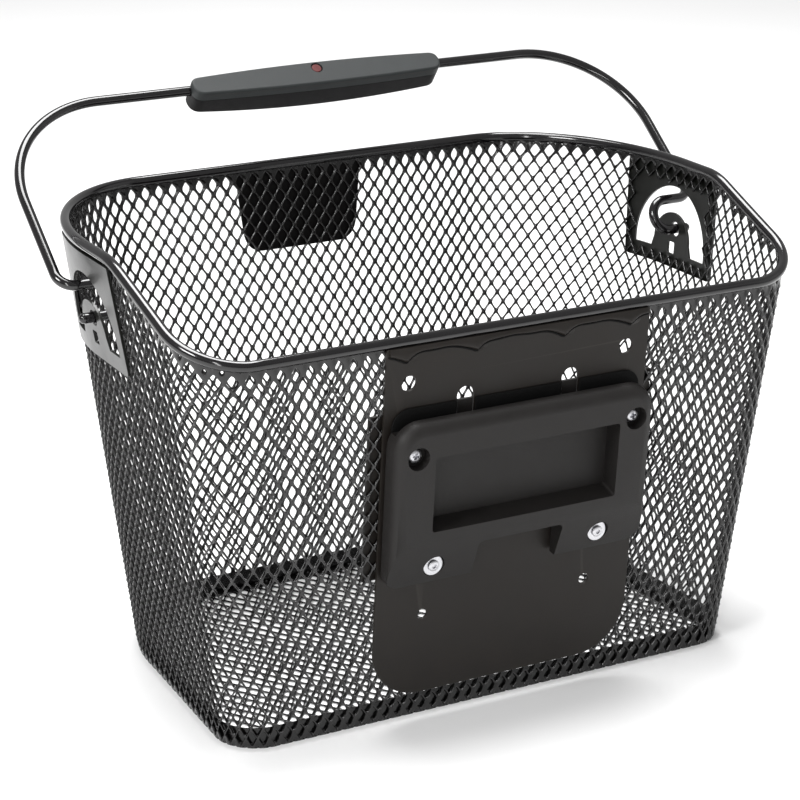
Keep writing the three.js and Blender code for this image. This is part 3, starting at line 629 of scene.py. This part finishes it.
# Adapter: a block with rounded front edges, cut by a slope on its legs, a pocket with a sloping
# foot, the notch between the legs and an undercut behind its top, with two hooked tabs.
body = slab(rounded(74, 80, 170, 8, 14, 14), 4.2, 17, 0.5, 6.5, 11)
wedge, wedge_faces = box((-99, -60, 0), (99, 0, 20))
wedge = placed(wedge, Matrix.Translation((0, 105.5, 17)) @ Matrix.Rotation(0.31, 4, "X"))
pocket = slab(rounded(53, 109, 152, 1.6, 1.6, 5), 5.5, 30)
foot = (pocket[0][:, 2] < 6) & (pocket[0][:, 1] < 130)
pocket[0][foot, 1] += 5
notch = slab(rounded(24.5, 60, 100.5, 1, 3, 6), -9, 30)
tabs = []
for low, high in (((-4.2, 158, 1.2), (4.2, 163, 11)), ((-4.2, 158.1, 1.1), (4.2, 173.8, 2.6))):
    for middle in (-HOOK_SLOT_X, HOOK_SLOT_X):
        verts, faces = box(low, high)
        tabs.append((verts + [middle, 0, 0], faces))
me = carve(body, [(wedge, wedge_faces), pocket, notch, box((-80, 163.5, 0), (80, 190, 9.0))]
           + pegs(UPPER_SCREW, SHANK_HOLE, 0, 30) + pegs(UPPER_SCREW, 6, 11, 30, 48)
           + pegs(LOWER_SCREW, SHANK_HOLE, 0, 30) + pegs(LOWER_SCREW, 6, 9.6, 30, 48),
           unions=tabs, bevel=(0.55, 42, 3))
finish_piece("adapter_moulding", put(me, REAR), ADAPTER,
             stands_for=("adapter_plate",), smooth=35)


def lathe(profile, sides=36):
    """A turned solid round the local Z axis from (radius, height) pairs."""
    a = np.linspace(0, 2 * math.pi, sides, endpoint=False)
    verts = np.vstack([np.column_stack([r * np.cos(a), r * np.sin(a), np.full(sides, h)]) for r, h in profile])
    return verts, ends(len(profile), sides) + skin(len(profile), sides)


def screw(name, spot, side, foot, radius, dome=1.9):
    """A threaded shank under a domed head, with a cross recess cut into the head."""
    profile = [(1.7, -10), (2.35, -9.4)]
    profile += [(2.35 if k % 2 else 2.1, -9.0 + 0.4 * k) for k in range(30)]
    profile += [(2.35, foot - 0.5), (2.35, foot), (radius - 0.15, foot), (radius, foot + 0.2)]
    for k in range(7):
        a = math.radians(90 * k / 7)
        profile.append((radius * (0.25 + 0.75 * math.cos(a)), foot + 0.5 + dome * math.sin(a)))
    verts, faces = lathe(profile)
    reach = radius * 0.7
    cross = []
    for angle in (0, 90):
        arm, arm_faces = box((-reach, -0.75, foot + 0.3), (reach, 0.75, foot + 9))
        arm[:, 0] *= np.where(arm[:, 2] < foot + 2, 0.55, 1.0)
        turn = Matrix.Rotation(math.radians(angle + 12 * side), 4, "Z")
        cross.append((placed(arm, Matrix.Translation((side * spot[0], spot[1], 0)) @ turn), arm_faces))
    me = carve((verts + [side * spot[0], spot[1], 0], faces), cross, bevel=(0.08, 50, 1))
    finish_piece(name + "_zinc", put(me, REAR), ZINC, stands_for=(name,), smooth=40)


for side, word in ((-1, "left"), (1, "right")):
    screw(f"upper_screw_{word}", UPPER_SCREW, side, 11.3, 3.9)
    screw(f"lower_screw_{word}", LOWER_SCREW, side, 11.2, 2.9, 0.7)
    px, py = side * LOWER_SCREW[0], LOWER_SCREW[1]
    disc = slab(circle(px, py, 5.5, 48), 9.9, 10.9, 0.15, 0.25, 3)
    me = carve(disc, [slab(circle(px, py, SHANK_HOLE, 32), 5, 15)])
    finish_piece(f"lower_washer_{word}_zinc", put(me, REAR), ZINC,
                 stands_for=(f"lower_washer_{word}",), smooth=35)
    for label, (px, py) in (("upper", UPPER_SCREW), ("lower", LOWER_SCREW)):
        hexagon = slab(circle(side * px, py, 4.6, 6), -7.4, -3.4)
        me = carve(hexagon, [slab(circle(side * px, py, SHANK_HOLE, 24), -12, 0)], bevel=(0.3, 40, 2))
        finish_piece(f"{label}_nut_{word}_zinc", put(me, REAR), ZINC,
                     stands_for=(f"{label}_nut_{word}",), smooth=35)

# Rolled lip under the rim, drawn down to each weld, with a thin black tube along its lower edge that paints the
# shadow line under the lip.
LIP_TOP, LIP_ROWS = 206.3, 11
xs = np.linspace(-73.5, 73.5, 220)
flat = np.zeros(len(xs))
dip = sum(np.exp(-np.sqrt((xs - c) ** 2 + 1.5) / np.where(xs < c, 6.5, 3.6)) * 1.3 for c in WELDS)
deep = 2.6 + 4.6 * dip + 0.25 * np.sin(xs * 0.35)
tall = 1.5 + 1.2 * dip + 0.12 * np.sin(xs * 0.21 + 1)
rings = []
for t in np.linspace(0, 1, LIP_ROWS):
    swell = (0.35 + 0.65 * t) * math.sqrt(1 - t ** 5)
    rings.append(np.column_stack([xs, LIP_TOP - deep * t, 2.5 + tall * swell]))
rings += [np.column_stack([xs, LIP_TOP - deep, flat + 1.6]), np.column_stack([xs, LIP_TOP + flat, flat + 1.6])]
faces, rows, count = [], len(rings), len(xs)
for k in range(rows):
    l = (k + 1) % rows
    faces += [(k * count + i, l * count + i, l * count + i + 1, k * count + i + 1) for i in range(count - 1)]
faces += [tuple(k * count for k in range(rows)), tuple(k * count + count - 1 for k in range(rows))[::-1]]
build("mounting_lip", placed(np.vstack(rings), REAR), faces, PLATE,
      stands_for=("mounting_plate",), smooth=60)
# Painted shadow: a thin black tube along the lip's lower edge.
line = np.column_stack([xs, LIP_TOP - deep - 0.35, flat + 2.75])
verts, faces = tube(placed(line, REAR), 0.62, sides=10)
build("mounting_lip_seam", verts, faces, PAINTED_SHADOW, stands_for=("mounting_plate",), smooth=SMOOTH_ALL)

for number, px in enumerate(WELDS, 1):
    profile = [(6.5 * r, 0.95 * (1 + math.cos(math.pi * r)) / 2 - 0.25 * (r > 0.99))
               for r in np.linspace(1, 0.04, 12)]
    verts, faces = lathe(profile, 40)
    theta = np.arctan2(verts[:, 1], verts[:, 0])
    wobble = np.minimum(1, 0.96 + 0.06 * np.sin(3 * theta + number) + 0.03 * np.sin(7 * theta + 2 * number))
    verts[:, 0] *= wobble
    verts[:, 1] *= 0.5 * wobble
    build(f"weld_{number}", placed(verts + [px, 200.9, PLATE_OUTER], REAR), faces, PLATE,
          stands_for=(f"weld_bead_{number}",), smooth=75)


# ---------------------------------------------------------------- brackets and badge plate
def bent(me, side):
    """Bends a plate drawn at 0..1.5 mm thickness onto a side wall."""
    n = len(me.vertices)
    co = np.empty(n * 3)
    me.vertices.foreach_get("co", co)
    co = co.reshape(-1, 3)
    a, h, w = co[:, 0], co[:, 1], co[:, 2]
    z = h * math.cos(SIDE_TILT)
    depth = BRACKET_MIDDLE + a + SHEAR * (h - PIVOT_Z)
    # The distance round the wall at which the wall has this depth at this height.
    guess = np.linspace(AROUND * 0.125, AROUND * 0.475, 700)
    out = np.empty((n, 3))
    for k in range(n):
        ys = wall(guess, z[k], 0)[:, 1] - SHIFT
        out[k] = wall(np.interp(depth[k], ys, guess), z[k], 1.3 + w[k])
    if side < 0:
        out[:, 0] *= -1
    me.vertices.foreach_set("co", (out * MM).ravel())
    if side < 0:
        me.flip_normals()
    return me


def bracket_sheet():
    """The flat sheet with its arched window, the tongue in it, the eye and a small slot, cut into
    strips so that it can be bent."""
    outline = slab(rounded(37.5, 183.5, 239.2, 3, 1, 6), 0, 1.5)
    window = ([(-17.5, 192)] + arc(0, 198, 15.5, 180, 0, 28) + [(17.5, 192), (ARCH_HALF, 192)]
              + arc(0, ARCH_SPRING, ARCH_HALF, 0, 180, 40, ry=ARCH_RISE) + [(-ARCH_HALF, 192)])
    eye = circle(PIVOT_Y - BRACKET_MIDDLE, PIVOT_Z / math.cos(SIDE_TILT), 4, 36)
    slot = rounded(3, 191, 197.5, 0.8, 0.8, 4)
    me = carve(outline, [slab(shape, -5, 5) for shape in (window, eye, slot)])
    bm = bmesh.new()
    bm.from_mesh(me)
    for k in range(1, 22):
        cut = -38 + 76 * k / 22
        geom = bm.verts[:] + bm.edges[:] + bm.faces[:]
        bmesh.ops.bisect_plane(bm, geom=geom, plane_co=(cut, 0, 0), plane_no=(1, 0, 0), dist=1e-5)
    bm.to_mesh(me)
    bm.free()
    return me


for side, word in ((-1, "left"), (1, "right")):
    me = bent(bracket_sheet(), side)
    ob = finish_piece(f"{word}_bracket_sheet", me, BRACKET,
                      stands_for=(f"{word}_bracket",), smooth=35)
    edge_step = ob.modifiers.new("edges", "BEVEL")
    edge_step.width, edge_step.segments, edge_step.limit_method = 0.00035, 2, "ANGLE"
    edge_step.angle_limit = math.radians(50)
    ob.modifiers.move(1, 0)


def quad(p, c, q, steps):
    """Points on a curve from p to q with one control point."""
    t = np.linspace(0, 1, steps + 1)[:, None]
    return ((1 - t) ** 2 * np.array(p) + 2 * t * (1 - t) * np.array(c) + t * t * np.array(q)).tolist()


shape = [(-24, 193), (24, 193)] + quad((24, 193), (33, 193.5), (35, 203.5), 10)[1:]
shape += [(38.8, 237.6), (-38.8, 237.6)] + [(-x, y) for x, y in shape[2:12][::-1]]
shape = [(x + BADGE_SHIFT, y) for x, y in shape]
me = carve(slab(shape, 1.1, 2.3), [], bevel=(0.3, 50, 2))
finish_piece("badge_sheet", put(me, FRONT), BADGE, stands_for=("front_badge_plate",), smooth=35)

# ---------------------------------------------------------------- bail and grip
# The bail from its middle to one end: top bar, corner, leg, a bend inwards and the hook that turns
# down and back out through the bracket's eye.
corner, bend = BAIL_HALF - BAIL_CORNER, HOOK_RISE + BAIL_BEND
half = [(x, BAIL_TOP, BAIL_OFFSET) for x in np.linspace(0, corner, 40)[:-1]]
half += [(x, y, BAIL_OFFSET) for x, y in arc(corner, BAIL_TOP - BAIL_CORNER, BAIL_CORNER, 90, 0, 36)]
half += [(BAIL_HALF, y, BAIL_OFFSET) for y in np.linspace(BAIL_TOP - BAIL_CORNER, bend, 16)[1:-1]]
half += [(x, y, BAIL_OFFSET + (HOOK_SET - BAIL_OFFSET) * k / 12)
         for k, (x, y) in enumerate(arc(BAIL_HALF - BAIL_BEND, bend, BAIL_BEND, 0, -90, 12))]
half += [(x, HOOK_RISE, HOOK_SET) for x in np.linspace(BAIL_HALF - BAIL_BEND, HOOK_START, 6)[1:-1]]
turn_radius = math.hypot(HOOK_RISE, HOOK_SET) / 2
for a in np.linspace(0, math.pi, 25):
    lift = (1 + math.cos(a)) / 2
    half.append((HOOK_START - turn_radius * math.sin(a), HOOK_RISE * lift, HOOK_SET * lift))
half += [(x, 0, 0) for x in np.linspace(HOOK_START, 180, 7)[1:]]
half = np.array(half)
verts, faces = tube(np.vstack([half[1:][::-1] * [-1, 1, 1], half]), BAIL_RADIUS)
build("bail_bar", placed(verts, BAIL), faces, WIRE, body="bail", stands_for=("bail_wire",),
      smooth=SMOOTH_ALL)


def grip_outline():
    """Outline of both grip shells, seen from the side that faces the rider."""
    w = 75.5
    pts = quad((-w + 7, -8), (0, -10.8), (w - 7, -8), 40)[:-1]
    pts += quad((w - 7, -8), (w, -8), (w, -1.5), 10)[:-1]
    pts += quad((w, -1.2), (w, 4.2), (w - 6, 4.3), 10)[:-1]
    pts += quad((w - 6, 4.3), (0, 8.2), (-w + 6, 4.3), 40)[:-1]
    pts += quad((-w + 6, 4.3), (-w, 4.2), (-w, -1.2), 10)[:-1]
    pts += quad((-w, -1.5), (-w, -8), (-w + 7, -8), 10)[:-1]
    return pts


GRIP_AT = BAIL @ Matrix.Translation((0, BAIL_TOP, BAIL_OFFSET))
DOT_UP = 1.6
channel = tube([(x, 0, 0) for x in np.linspace(-100, 100, 6)], BAIL_RADIUS + 0.3, sides=32, cap=False)
upper = slab(grip_outline(), 0.15, 6, 0, 1.3, 6)
me = carve(upper, [channel, slab(circle(0, DOT_UP, 3.4, 40), 4.4, 20)])
finish_piece("grip_rear_half", put(me, GRIP_AT), GRIP, body="bail",
             stands_for=("grip_rear_shell",), smooth=40)
# The lower shell is deepest in the middle.
lower = slab(grip_outline(), -13, -0.15, 1.9, 0, 7)
depth = (13 - 5 * (lower[0][:, 0] / 90) ** 2) / 13
lower[0][:, 2] = np.where(lower[0][:, 2] < -1, lower[0][:, 2] * depth, lower[0][:, 2])
me = carve(lower, [channel])
finish_piece("grip_front_half", put(me, GRIP_AT), GRIP_UNDER_SHADED, body="bail",
             stands_for=("grip_front_shell",), smooth=40)
verts, faces = slab(circle(0, DOT_UP, 2.8, 40), 4.7, 5.6, 0.1, 0.35, 4)
build("grip_button", placed(verts, GRIP_AT), faces, RED, body="bail", stands_for=("grip_dot",),
      smooth=40)

# ---------------------------------------------------------------- studio
floor_mat = material("studio_floor", (0.86, 0.86, 0.86), 0.75, grain=40, bump=0.02, mottle=0.01)
bpy.ops.mesh.primitive_plane_add(size=14, location=(0, 0, 0))
ground = bpy.context.object
ground.name = "studio_ground"
ground.data.materials.append(floor_mat)
ground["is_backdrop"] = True
world = bpy.data.worlds.new("studio")
bpy.context.scene.world = world
world.use_nodes = True
background = world.node_tree.nodes["Background"].inputs
background["Color"].default_value, background["Strength"].default_value = (1, 1, 1, 1), 0.42
bpy.context.scene.view_settings.view_transform = "Standard"


def lamp(name, place, target, size, power):
    """A rectangular soft light aimed at a point."""
    data = bpy.data.lights.new(name, "AREA")
    data.shape, data.size, data.size_y, data.energy = "RECTANGLE", size[0], size[1], power
    ob = bpy.data.objects.new(name, data)
    ob.location = place
    ob.rotation_euler = (Vector(target) - Vector(place)).to_track_quat("-Z", "Y").to_euler()
    bpy.context.scene.collection.objects.link(ob)


lamp("key", (-1.5, -0.5, 1.25), (0, 0, 0.14), (0.55, 0.55), 23)
lamp("left_strip", (-1.1, -1.5, 0.75), (0, 0, 0.15), (0.12, 1.3), 7)
lamp("fill", (1.5, -0.9, 0.8), (0, 0, 0.12), (1.2, 1.2), 1.0)
lamp("top", (0.1, 0.5, 2.2), (0, 0, 0.1), (1.3, 1.3), 75)

camera = bpy.data.cameras.new("camera")
camera.sensor_width, camera.lens = 36, 117
camera.clip_start, camera.clip_end = 0.01, 50
eye = bpy.data.objects.new("camera", camera)
eye.location = (-0.63306, -1.14718, 0.58493)
eye.rotation_euler = (math.radians(71.02), 0, math.radians(-28.62))
bpy.context.scene.collection.objects.link(eye)
bpy.context.scene.camera = eye

low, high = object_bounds()
